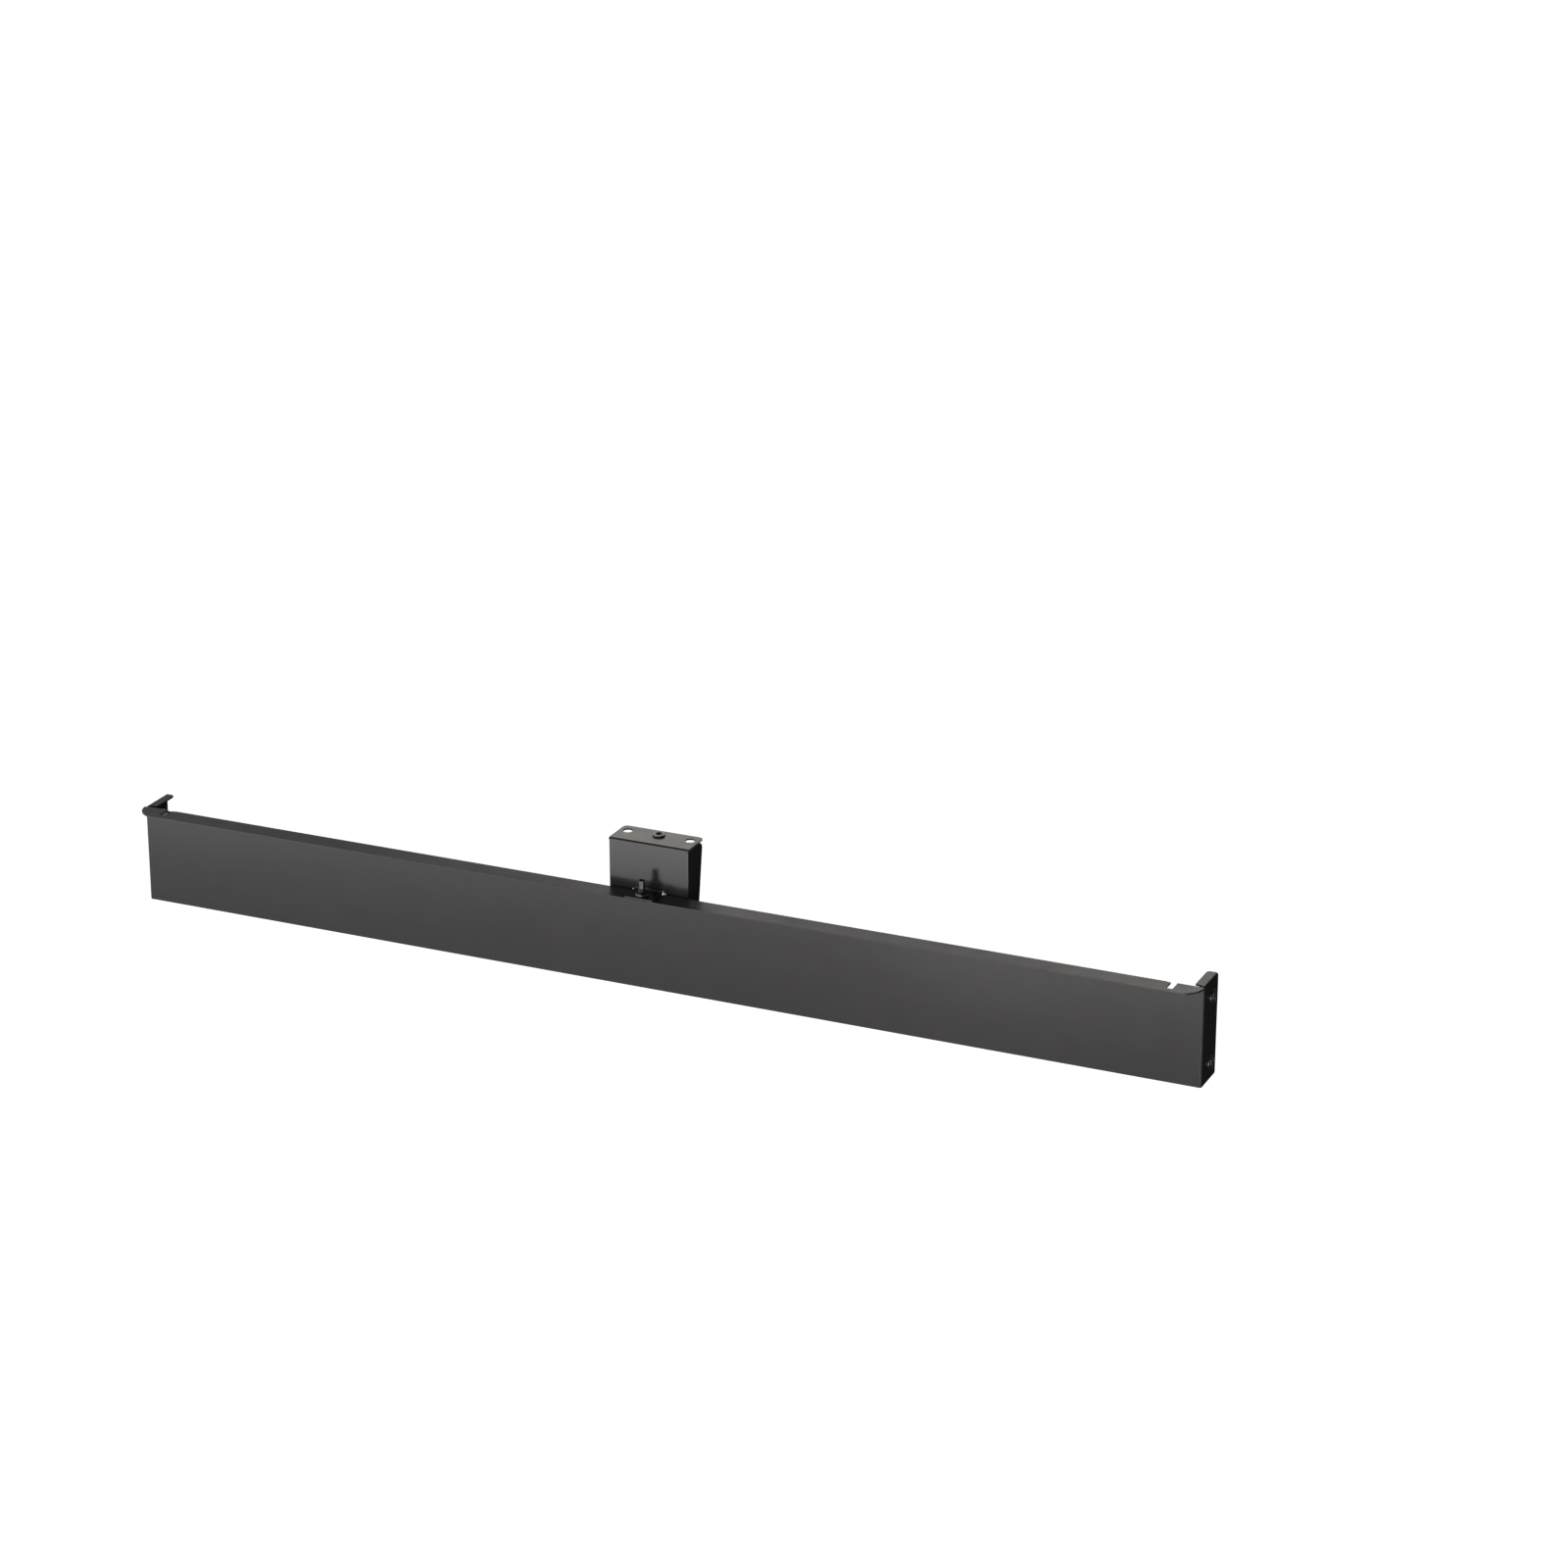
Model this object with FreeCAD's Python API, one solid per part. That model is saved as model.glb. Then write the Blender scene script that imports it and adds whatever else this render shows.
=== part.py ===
import FreeCAD, Part
import math
import os

# LED strip batten: a long fascia folded from black sheet steel, hung from a folded bracket at
# the middle of its length, with an LED strip in an aluminium channel along its rear face.
# Millimetres. +X runs along the batten, -Y faces the viewer, +Z is up. The origin is on the
# hanging insert's axis, in the bracket's top face.

V = FreeCAD.Vector
X_AXIS = V(1, 0, 0)
Y_AXIS = V(0, 1, 0)
Z_AXIS = V(0, 0, 1)

# Fascia
LENGTH = 900.0
FACE_HEIGHT = 80.5
SHEET = 1.5
FOLD_R = 2.0                 # outside radius of every fascia fold
LEDGE_DEPTH = 17.4           # how far the ledge stands in front of the face
LEDGE_CORNER_R = 17.0
END_DEPTH = 31.0             # end plate, from the face's front surface backwards
LIP_WIDTH = 8.5
LIP_SLANT = 2.0              # the lip's inner front corner is this far behind its outer one
LIP_CORNER_R = 3.0
SLOT_FROM_END = 20.8
SLOT_WIDTH = 5.0
SLOT_REACH = 11.6            # in front of the face's front surface
CUTOUT_WIDTH = 8.5
CUTOUT_DEPTH = 8.0           # below the ledge's top

# Bracket
BRACKET_SHEET = 1.2
BRACKET_FOLD_R = 1.6
BRACKET_WIDTH = 67.7
BRACKET_RISE = 39.5          # top face above the ledge
BRACKET_DROP = 38.0          # lower edge below the ledge's top
TOP_DEPTH = 28.5
TOP_CORNER_R = 4.0
WALL_DEPTH_TOP = 25.7
WALL_DEPTH_LEDGE = 20.4
WALL_CORNER_R = 5.0
HOLE_SETBACK = 18.8          # hanging holes, behind the bracket's front surface
HOLE_SPACING = 53.0
HOLE_R = 3.9
FOLD_SLIT = 0.3              # saw-thin gap where two folds meet at a corner
FOOT_WIDTH = 24.0
FOOT_DEPTH = 18.5
FOOT_FOLD_R = 2.5
FOOT_SLIT = 0.4
RELIEF_R = 0.55
RELIEF_X = 13.6

# M6 hardware
M6_R = 3.0
M6_TAPPED_R = 2.5
M6_RUNNING_R = 3.05          # bore that the set screw runs in
M6_CLEAR_R = 3.3
SCREW_SETBACK = 12.2         # set screw, in front of the bracket's front surface
SCREW_LENGTH = 16.0
SCREW_STANDS = 14.0          # above the ledge's top
SCREW_CHAMFER = 0.6
SCREW_NECK_R = 2.5           # plain upper end of the set screw
SCREW_NECK_LENGTH = 6.5
SOCKET_ACROSS_FLATS = 3.0
SOCKET_DEPTH = 4.0
NUT_ACROSS_FLATS = 10.0
NUT_HEIGHT = 3.2
NUT_CHAMFER_R = 4.75
NUT_TURN_DEG = 24.0
CLINCH_BODY_R = 5.0
CLINCH_BODY_HEIGHT = 0.8
CLINCH_SHANK_R = 4.35

# Blind rivet nuts
HANGER_FLANGE_R = 4.95
HANGER_FLANGE_THICK = 1.5
HANGER_BODY_R = 4.0
END_FLANGE_R = 5.75
END_FLANGE_THICK = 1.2
END_BODY_R = 4.5
RIVET_NUT_LENGTH = 13.0      # behind the sheet
BULGE_EXTRA_R = 1.2
BULGE_HEIGHT = 3.0
MOUTH_CHAMFER = 0.5
END_INSERT_SETBACK = 18.5    # behind the face's front surface
END_INSERT_DROPS = (14.0, 67.0)

# LED channel behind the face
CHANNEL_HALF_LENGTH = 390.0
CHANNEL_WIDTH = 17.0
CHANNEL_DEPTH = 8.0
CHANNEL_WALL = 1.2
CHANNEL_RISE = 22.0          # channel's centre line above the fascia's lower edge
TAPE_WIDTH = 12.0
TAPE_THICK = 1.0
CUT_UNIT = 50.0
LEDS_PER_UNIT = 3
UNITS = 15
BOARD_WIDTH = 10.0
BOARD_THICK = 0.3
LED_SIDE = 5.0
LED_THICK = 1.5
RESISTOR_SIZE = (3.2, 1.6, 0.6)
RESISTOR_OFFSET = 6.0
COVER_THICK = 1.0
COVER_LEG = 2.5
COVER_GAP = 0.1
CAP_THICK = 2.0
CAP_OVERHANG = 0.5
CAP_PLUG = 6.0
CAP_PLUG_GAP = 0.1
JACK_R = 3.9
JACK_BORE_R = 2.75
JACK_LENGTH = 9.0
JACK_BORE_DEPTH = 8.0
JACK_PIN_R = 1.0
JACK_PIN_LENGTH = 7.0

# Planes that the parts share
HALF_LENGTH = LENGTH / 2
LEDGE_Z = -BRACKET_RISE
BOTTOM_Z = LEDGE_Z - FACE_HEIGHT
REAR_Y = -HOLE_SETBACK
FRONT_Y = REAR_Y - SHEET
NOSE_Y = FRONT_Y - LEDGE_DEPTH
END_BACK_Y = FRONT_Y + END_DEPTH
HALF_BRACKET = BRACKET_WIDTH / 2
SCREW_Y = REAR_Y - SCREW_SETBACK
CHANNEL_Z = BOTTOM_Z + CHANNEL_RISE
CHANNEL_Y = REAR_Y + TAPE_THICK
BOARD_Y = CHANNEL_Y + CHANNEL_WALL
CHANNEL_MOUTH_Y = CHANNEL_Y + CHANNEL_DEPTH


def block(x0, x1, y0, y1, z0, z1):
    """A box between two corners."""
    low = V(min(x0, x1), min(y0, y1), min(z0, z1))
    size = V(abs(x1 - x0), abs(y1 - y0), abs(z1 - z0))
    return Part.makeBox(size.x, size.y, size.z, low)


def rod(radius, length, base, axis=Z_AXIS):
    return Part.makeCylinder(radius, length, base, axis)


def prism(points, along):
    """A straight-sided outline, pushed along a vector."""
    wire = Part.makePolygon(points + points[:1])
    return Part.Face(wire).extrude(along)


def folded(corner, along_a, leg_a, along_b, leg_b, thick, outer_r, sweep):
    """One sheet fold: two legs from an outside corner, with a round outside and inside."""
    inner_r = outer_r - thick
    slope = math.sqrt(0.5)

    def at(a, b):
        return corner + along_a * a + along_b * b

    outer_mid = outer_r * (1 - slope)
    inner_mid = outer_r - inner_r * slope
    edges = [
        Part.makeLine(at(leg_a, 0), at(outer_r, 0)),
        Part.Arc(at(outer_r, 0), at(outer_mid, outer_mid), at(0, outer_r)).toShape(),
        Part.makeLine(at(0, outer_r), at(0, leg_b)),
        Part.makeLine(at(0, leg_b), at(thick, leg_b)),
        Part.makeLine(at(thick, leg_b), at(thick, outer_r)),
        Part.Arc(at(thick, outer_r), at(inner_mid, inner_mid), at(outer_r, thick)).toShape(),
        Part.makeLine(at(outer_r, thick), at(leg_a, thick)),
        Part.makeLine(at(leg_a, thick), at(leg_a, 0)),
    ]
    return Part.Face(Part.Wire(edges)).extrude(sweep)


def corner_waste(corner, inward_a, inward_b, radius, sweep):
    """What a rounded corner removes: the square corner less its quarter disc."""
    slope = 1 - math.sqrt(0.5)
    start = corner + inward_a * radius
    middle = corner + (inward_a + inward_b) * (radius * slope)
    end = corner + inward_b * radius
    edges = [
        Part.makeLine(corner, start),
        Part.Arc(start, middle, end).toShape(),
        Part.makeLine(end, corner),
    ]
    return Part.Face(Part.Wire(edges)).extrude(sweep)


def turned(outline, base, axis):
    """A round piece: (radius, distance along the axis) points turned about the axis."""
    side = X_AXIS if abs(axis.x) < 0.5 else Y_AXIS
    points = [base + side * radius + axis * along for radius, along in outline]
    face = Part.Face(Part.makePolygon(points + points[:1]))
    return face.revolve(base, axis, 360)


def hexagon_prism(across_flats, length, base, turn_deg):
    corner_r = across_flats / math.sqrt(3)
    angles = [math.radians(60 * i + turn_deg) for i in range(6)]
    points = [base + V(corner_r * math.sin(a), -corner_r * math.cos(a), 0) for a in angles]
    return prism(points, Z_AXIS * length)


def end_plate(side):
    """An end plate with its lip, and the fold that joins it to the face."""
    end_x = side * HALF_LENGTH
    inward = X_AXIS * -side
    fold_top = LEDGE_Z - FOLD_R
    flat_y = FRONT_Y + FOLD_R
    face_fold = folded(
        V(end_x, FRONT_Y, BOTTOM_Z), inward, FOLD_R + SHEET, Y_AXIS, FOLD_R + SHEET,
        SHEET, FOLD_R, Z_AXIS * (fold_top - BOTTOM_Z))
    plate = folded(
        V(end_x, flat_y, LEDGE_Z), inward, LIP_WIDTH, -Z_AXIS, FACE_HEIGHT,
        SHEET, FOLD_R, Y_AXIS * (END_BACK_Y - flat_y))
    through = Z_AXIS * SHEET
    lip_x = end_x - side * LIP_WIDTH
    lip_base = LEDGE_Z - SHEET
    slant = prism([
        V(end_x, flat_y, lip_base),
        V(lip_x, flat_y + LIP_SLANT, lip_base),
        V(lip_x, flat_y, lip_base),
    ], through)
    back_corner = corner_waste(
        V(lip_x, END_BACK_Y, lip_base), X_AXIS * side, -Y_AXIS, LIP_CORNER_R, through)
    return face_fold.fuse(plate.cut(slant).cut(back_corner))


def ledge_slot(side):
    """The slot in the ledge, and the wider cut-out below it in the face."""
    slot_x = side * (HALF_LENGTH - SLOT_FROM_END)
    in_ledge = block(
        slot_x, slot_x - side * SLOT_WIDTH,
        FRONT_Y - SLOT_REACH, REAR_Y, LEDGE_Z - FOLD_R, LEDGE_Z)
    in_face = block(
        slot_x, slot_x - side * CUTOUT_WIDTH,
        REAR_Y - FOLD_R, REAR_Y, LEDGE_Z - CUTOUT_DEPTH, LEDGE_Z)
    return in_ledge.fuse(in_face)


def make_fascia():
    fold_x = HALF_LENGTH - FOLD_R
    shape = folded(
        V(-fold_x, REAR_Y, LEDGE_Z), -Y_AXIS, SHEET + LEDGE_DEPTH, -Z_AXIS, FACE_HEIGHT,
        SHEET, FOLD_R, X_AXIS * (2 * fold_x))
    for side in (-1, 1):
        end_x = side * HALF_LENGTH
        tip = block(
            side * (fold_x - SHEET), end_x, NOSE_Y, REAR_Y - FOLD_R, LEDGE_Z - SHEET, LEDGE_Z)
        shape = shape.fuse([tip, end_plate(side)])
        shape = shape.cut(corner_waste(
            V(end_x, NOSE_Y, LEDGE_Z - SHEET), X_AXIS * -side, Y_AXIS,
            LEDGE_CORNER_R, Z_AXIS * SHEET))
        shape = shape.cut(ledge_slot(side))
        for drop in END_INSERT_DROPS:
            centre = V(end_x, FRONT_Y + END_INSERT_SETBACK, LEDGE_Z - drop)
            shape = shape.cut(rod(END_BODY_R, SHEET, centre, X_AXIS * -side))
    shape = shape.cut(rod(CLINCH_SHANK_R, SHEET, V(0, SCREW_Y, LEDGE_Z - SHEET)))
    return shape.removeSplitter()


def bracket_walls():
    """The bracket's front plate and its two side walls, below the top fold."""
    low = LEDGE_Z - BRACKET_DROP
    top = -BRACKET_SHEET - FOLD_SLIT
    walls = []
    for side in (-1, 1):
        walls.append(folded(
            V(side * HALF_BRACKET, REAR_Y, low), X_AXIS * -side, HALF_BRACKET,
            Y_AXIS, WALL_DEPTH_TOP, BRACKET_SHEET, BRACKET_FOLD_R, Z_AXIS * (top - low)))
    shape = walls[0].fuse(walls[1])
    back_top = V(-HALF_BRACKET, REAR_Y + WALL_DEPTH_TOP, top)
    slope = (WALL_DEPTH_TOP - WALL_DEPTH_LEDGE) / (top - LEDGE_Z)
    back_low = V(-HALF_BRACKET, REAR_Y + WALL_DEPTH_TOP - slope * (top - low), low)
    across = X_AXIS * BRACKET_WIDTH
    taper = prism([back_top, back_low, V(-HALF_BRACKET, back_top.y, low)], across)
    tilt = V(0, back_low.y - back_top.y, low - back_top.z).normalize()
    turn = math.acos(-tilt.y)
    tangent = WALL_CORNER_R / math.tan(turn / 2)
    start = back_top - Y_AXIS * tangent
    end = back_top + tilt * tangent
    centre = start - Z_AXIS * WALL_CORNER_R
    middle = centre + (back_top - centre).normalize() * WALL_CORNER_R
    edges = [
        Part.makeLine(back_top, start),
        Part.Arc(start, middle, end).toShape(),
        Part.makeLine(end, back_top),
    ]
    rounding = Part.Face(Part.Wire(edges)).extrude(across)
    return shape.cut(taper).cut(rounding)


def make_bracket():
    flat_y = REAR_Y + BRACKET_FOLD_R
    neck_z = -BRACKET_FOLD_R - 2 * FOLD_SLIT
    shape = bracket_walls()
    shape = shape.cut(block(
        -HALF_BRACKET, HALF_BRACKET, REAR_Y, flat_y + FOLD_SLIT, neck_z, 0))
    top = folded(
        V(-HALF_BRACKET, REAR_Y, 0), Y_AXIS, TOP_DEPTH, -Z_AXIS,
        BRACKET_FOLD_R + FOLD_SLIT, BRACKET_SHEET, BRACKET_FOLD_R, X_AXIS * BRACKET_WIDTH)
    for side in (-1, 1):
        corner = V(side * HALF_BRACKET, REAR_Y + TOP_DEPTH, -BRACKET_SHEET)
        top = top.cut(corner_waste(
            corner, X_AXIS * -side, -Y_AXIS, TOP_CORNER_R, Z_AXIS * BRACKET_SHEET))
    neck_x = HALF_BRACKET - BRACKET_FOLD_R
    neck = block(
        -neck_x, neck_x, REAR_Y, REAR_Y + BRACKET_SHEET, neck_z, -BRACKET_FOLD_R)
    shape = shape.fuse([top, neck])
    window_x = FOOT_WIDTH / 2 + FOOT_SLIT
    shape = shape.cut(block(
        -window_x, window_x, REAR_Y, REAR_Y + BRACKET_SHEET,
        LEDGE_Z - FOOT_DEPTH, LEDGE_Z + FOOT_FOLD_R))
    foot = folded(
        V(-FOOT_WIDTH / 2, REAR_Y + BRACKET_SHEET, LEDGE_Z), -Y_AXIS,
        BRACKET_SHEET + FOOT_DEPTH, Z_AXIS, FOOT_FOLD_R + BRACKET_SHEET,
        BRACKET_SHEET, FOOT_FOLD_R, X_AXIS * FOOT_WIDTH)
    shape = shape.fuse(foot)
    for side in (-1, 1):
        relief = V(side * RELIEF_X, REAR_Y, LEDGE_Z)
        shape = shape.cut(rod(RELIEF_R, BRACKET_SHEET, relief, Y_AXIS))
        hole = V(side * HOLE_SPACING / 2, 0, -BRACKET_SHEET)
        shape = shape.cut(rod(HOLE_R, BRACKET_SHEET, hole))
    shape = shape.cut(rod(HANGER_BODY_R, BRACKET_SHEET, V(0, 0, -BRACKET_SHEET)))
    shape = shape.cut(rod(M6_CLEAR_R, BRACKET_SHEET, V(0, SCREW_Y, LEDGE_Z)))
    return shape.removeSplitter()


def rivet_nut(seat, outward, sheet, flange_r, flange_thick, body_r):
    """A set blind rivet nut: flange outside the sheet, swollen sleeve behind it."""
    bulge_r = body_r + BULGE_EXTRA_R
    tail = -(sheet + RIVET_NUT_LENGTH)
    outline = [
        (M6_TAPPED_R, tail),
        (body_r, tail),
        (body_r, -(sheet + BULGE_HEIGHT)),
        (bulge_r, -(sheet + BULGE_HEIGHT * 0.7)),
        (bulge_r, -sheet),
        (body_r, -sheet),
        (body_r, 0),
        (flange_r, 0),
        (flange_r, flange_thick),
        (M6_TAPPED_R + MOUTH_CHAMFER, flange_thick),
        (M6_TAPPED_R, flange_thick - MOUTH_CHAMFER),
    ]
    return turned(outline, seat, outward)


def make_hanger_insert():
    return rivet_nut(
        V(0, 0, 0), Z_AXIS, BRACKET_SHEET, HANGER_FLANGE_R, HANGER_FLANGE_THICK, HANGER_BODY_R)


def make_end_inserts(side):
    """The two rivet nuts of one end plate, as separate solids."""
    inserts = []
    for drop in END_INSERT_DROPS:
        seat = V(side * HALF_LENGTH, FRONT_Y + END_INSERT_SETBACK, LEDGE_Z - drop)
        inserts.append(rivet_nut(
            seat, X_AXIS * side, SHEET, END_FLANGE_R, END_FLANGE_THICK, END_BODY_R))
    return Part.Compound(inserts)


def make_set_screw():
    """A threaded shank with a thinner plain end, which has the socket for the key."""
    top = LEDGE_Z + SCREW_STANDS
    low = top - SCREW_LENGTH
    shoulder = SCREW_LENGTH - SCREW_NECK_LENGTH
    neck_chamfer = SCREW_CHAMFER / 2
    outline = [
        (0, 0),
        (M6_R - SCREW_CHAMFER, 0),
        (M6_R, SCREW_CHAMFER),
        (M6_R, shoulder - (M6_R - SCREW_NECK_R)),
        (SCREW_NECK_R, shoulder),
        (SCREW_NECK_R, SCREW_LENGTH - neck_chamfer),
        (SCREW_NECK_R - neck_chamfer, SCREW_LENGTH),
        (0, SCREW_LENGTH),
    ]
    shank = turned(outline, V(0, SCREW_Y, low), Z_AXIS)
    socket_base = V(0, SCREW_Y, top - SOCKET_DEPTH)
    return shank.cut(hexagon_prism(SOCKET_ACROSS_FLATS, SOCKET_DEPTH, socket_base, 0))


def make_lock_nut():
    base = V(0, SCREW_Y, LEDGE_Z + BRACKET_SHEET)
    corner_r = NUT_ACROSS_FLATS / math.sqrt(3)
    drop = (corner_r - NUT_CHAMFER_R) * math.tan(math.radians(30))
    outline = [
        (M6_RUNNING_R, 0),
        (NUT_CHAMFER_R, 0),
        (corner_r, drop),
        (corner_r, NUT_HEIGHT - drop),
        (NUT_CHAMFER_R, NUT_HEIGHT),
        (M6_RUNNING_R, NUT_HEIGHT),
    ]
    blank = turned(outline, base, Z_AXIS)
    return blank.common(hexagon_prism(NUT_ACROSS_FLATS, NUT_HEIGHT, base, NUT_TURN_DEG))


def make_clinch_nut():
    """The threaded insert pressed into the ledge from below, which the set screw turns in."""
    under = LEDGE_Z - SHEET
    outline = [
        (M6_RUNNING_R, -CLINCH_BODY_HEIGHT),
        (CLINCH_BODY_R, -CLINCH_BODY_HEIGHT),
        (CLINCH_BODY_R, 0),
        (CLINCH_SHANK_R, 0),
        (CLINCH_SHANK_R, SHEET),
        (M6_RUNNING_R, SHEET),
    ]
    return turned(outline, V(0, SCREW_Y, under), Z_AXIS)


def make_mounting_tape():
    return block(
        -CHANNEL_HALF_LENGTH, CHANNEL_HALF_LENGTH, REAR_Y, CHANNEL_Y,
        CHANNEL_Z - TAPE_WIDTH / 2, CHANNEL_Z + TAPE_WIDTH / 2)


def channel_inside():
    """The space between the channel's walls, as (low z, high z)."""
    half = CHANNEL_WIDTH / 2 - CHANNEL_WALL
    return CHANNEL_Z - half, CHANNEL_Z + half


def make_led_channel():
    low, high = channel_inside()
    shape = block(
        -CHANNEL_HALF_LENGTH, CHANNEL_HALF_LENGTH, CHANNEL_Y, CHANNEL_MOUTH_Y,
        CHANNEL_Z - CHANNEL_WIDTH / 2, CHANNEL_Z + CHANNEL_WIDTH / 2)
    return shape.cut(block(
        -CHANNEL_HALF_LENGTH, CHANNEL_HALF_LENGTH, BOARD_Y, CHANNEL_MOUTH_Y, low, high))


def strip_start():
    return -CUT_UNIT * UNITS / 2


def make_led_board():
    start = strip_start()
    return block(
        start, -start, BOARD_Y, BOARD_Y + BOARD_THICK,
        CHANNEL_Z - BOARD_WIDTH / 2, CHANNEL_Z + BOARD_WIDTH / 2)


def make_leds():
    """The light-emitting packages, evenly spaced along the board."""
    pitch = CUT_UNIT / LEDS_PER_UNIT
    face_y = BOARD_Y + BOARD_THICK
    leds = []
    for i in range(UNITS * LEDS_PER_UNIT):
        x = strip_start() + pitch * (i + 0.5)
        leds.append(block(
            x - LED_SIDE / 2, x + LED_SIDE / 2, face_y, face_y + LED_THICK,
            CHANNEL_Z - LED_SIDE / 2, CHANNEL_Z + LED_SIDE / 2))
    return Part.Compound(leds)


def make_resistors():
    """One chip resistor in each cut unit of the strip."""
    face_y = BOARD_Y + BOARD_THICK
    long, wide, thick = RESISTOR_SIZE
    chips = []
    for i in range(UNITS):
        x = strip_start() + CUT_UNIT * i + CUT_UNIT / LEDS_PER_UNIT
        chips.append(block(
            x - wide / 2, x + wide / 2, face_y, face_y + thick,
            CHANNEL_Z - long / 2, CHANNEL_Z + long / 2))
    return Part.Compound(chips)


def make_diffuser():
    """The opal cover that closes the channel, with two legs pushed in between its walls."""
    low, high = channel_inside()
    length = CHANNEL_HALF_LENGTH
    shape = block(
        -length, length, CHANNEL_MOUTH_Y, CHANNEL_MOUTH_Y + COVER_THICK,
        CHANNEL_Z - CHANNEL_WIDTH / 2, CHANNEL_Z + CHANNEL_WIDTH / 2)
    leg_x = length - CAP_PLUG - CAP_PLUG_GAP
    for edge, inward in ((low, 1), (high, -1)):
        outer = edge + inward * COVER_GAP
        shape = shape.fuse(block(
            -leg_x, leg_x, CHANNEL_MOUTH_Y - COVER_LEG, CHANNEL_MOUTH_Y,
            outer, outer + inward * COVER_THICK))
    return shape.removeSplitter()


def make_end_cap(side):
    """A plastic cap over the channel's end, with a plug that grips inside its walls."""
    low, high = channel_inside()
    end_x = side * CHANNEL_HALF_LENGTH
    shape = block(
        end_x, end_x + side * CAP_THICK,
        CHANNEL_Y, CHANNEL_MOUTH_Y + COVER_THICK,
        CHANNEL_Z - CHANNEL_WIDTH / 2 - CAP_OVERHANG,
        CHANNEL_Z + CHANNEL_WIDTH / 2 + CAP_OVERHANG)
    shape = shape.fuse(block(
        end_x - side * CAP_PLUG, end_x,
        BOARD_Y + CAP_PLUG_GAP, CHANNEL_MOUTH_Y - CAP_PLUG_GAP,
        low + CAP_PLUG_GAP, high - CAP_PLUG_GAP))
    return shape.removeSplitter()


def jack_seat():
    middle_y = (CHANNEL_Y + CHANNEL_MOUTH_Y + COVER_THICK) / 2
    return V(CHANNEL_HALF_LENGTH + CAP_THICK, middle_y, CHANNEL_Z)


def make_power_jack():
    """The low-voltage inlet's shell on the right end cap, open towards the end plate."""
    seat = jack_seat()
    shell = rod(JACK_R, JACK_LENGTH, seat, X_AXIS)
    mouth = seat + X_AXIS * (JACK_LENGTH - JACK_BORE_DEPTH)
    return shell.cut(rod(JACK_BORE_R, JACK_BORE_DEPTH, mouth, X_AXIS))


def make_jack_pin():
    base = jack_seat() + X_AXIS * (JACK_LENGTH - JACK_BORE_DEPTH)
    return rod(JACK_PIN_R, JACK_PIN_LENGTH, base, X_AXIS)


NODES = {
    "fascia": make_fascia(),
    "hanging_bracket": make_bracket(),
    "hanging_insert": make_hanger_insert(),
    "end_inserts_left": make_end_inserts(-1),
    "end_inserts_right": make_end_inserts(1),
    "ledge_clinch_nut": make_clinch_nut(),
    "set_screw": make_set_screw(),
    "lock_nut": make_lock_nut(),
    "mounting_tape": make_mounting_tape(),
    "led_channel": make_led_channel(),
    "led_board": make_led_board(),
    "leds": make_leds(),
    "resistors": make_resistors(),
    "diffuser": make_diffuser(),
    "end_cap_left": make_end_cap(-1),
    "end_cap_right": make_end_cap(1),
    "power_jack": make_power_jack(),
    "power_jack_pin": make_jack_pin(),
}

os.makedirs("parts", exist_ok=True)
for name, shape in NODES.items():
    shape.exportStep(f"parts/{name}.step")
    print(name, len(shape.Solids), round(shape.Volume, 1), shape.isValid())
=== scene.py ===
import math

import bmesh
import bpy
from mathutils import Matrix, Vector
from mathutils.bvhtree import BVHTree


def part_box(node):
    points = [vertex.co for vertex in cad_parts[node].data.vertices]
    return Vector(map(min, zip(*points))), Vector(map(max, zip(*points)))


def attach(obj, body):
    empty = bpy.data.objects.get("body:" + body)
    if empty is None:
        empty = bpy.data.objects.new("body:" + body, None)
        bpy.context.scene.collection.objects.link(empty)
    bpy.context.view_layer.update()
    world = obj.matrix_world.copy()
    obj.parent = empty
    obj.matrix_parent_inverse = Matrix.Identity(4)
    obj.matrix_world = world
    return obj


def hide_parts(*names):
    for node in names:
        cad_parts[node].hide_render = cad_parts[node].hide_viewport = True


# LED strip batten: a folded black steel fascia that hangs from a central bracket, with an LED strip
# in an aluminium channel behind it. Metres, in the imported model's frame: +X along the batten,
# -Y out of its front, +Z up, and the origin on the hanging insert in the bracket's top face.

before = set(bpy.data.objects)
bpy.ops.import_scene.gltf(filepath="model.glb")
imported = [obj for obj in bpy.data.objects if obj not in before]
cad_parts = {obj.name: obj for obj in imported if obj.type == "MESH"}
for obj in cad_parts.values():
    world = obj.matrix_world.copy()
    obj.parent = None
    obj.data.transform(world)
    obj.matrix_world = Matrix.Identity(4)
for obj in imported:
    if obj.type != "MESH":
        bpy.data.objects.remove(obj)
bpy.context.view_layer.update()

MM = 0.001

# ---------------------------------------------------------------- sizes that the frame doesn't give
FASCIA_SHEET = 1.5 * MM
BRACKET_SHEET = 1.2 * MM
SHEET_EDGE = 0.22 * MM       # rounding of the cut sheet edges under the coating
STEPS = 72                   # points around every turned piece
PITCH = 1.0 * MM             # M6 coarse thread
ROWS_PER_PITCH = 10
M6_R = 3.0 * MM
M6_CORE_R = 2.5 * MM
M6_ROOT_R = 2.42 * MM
RUNNING_R = 3.05 * MM
THREAD_CHAMFER = 0.6 * MM


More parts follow.
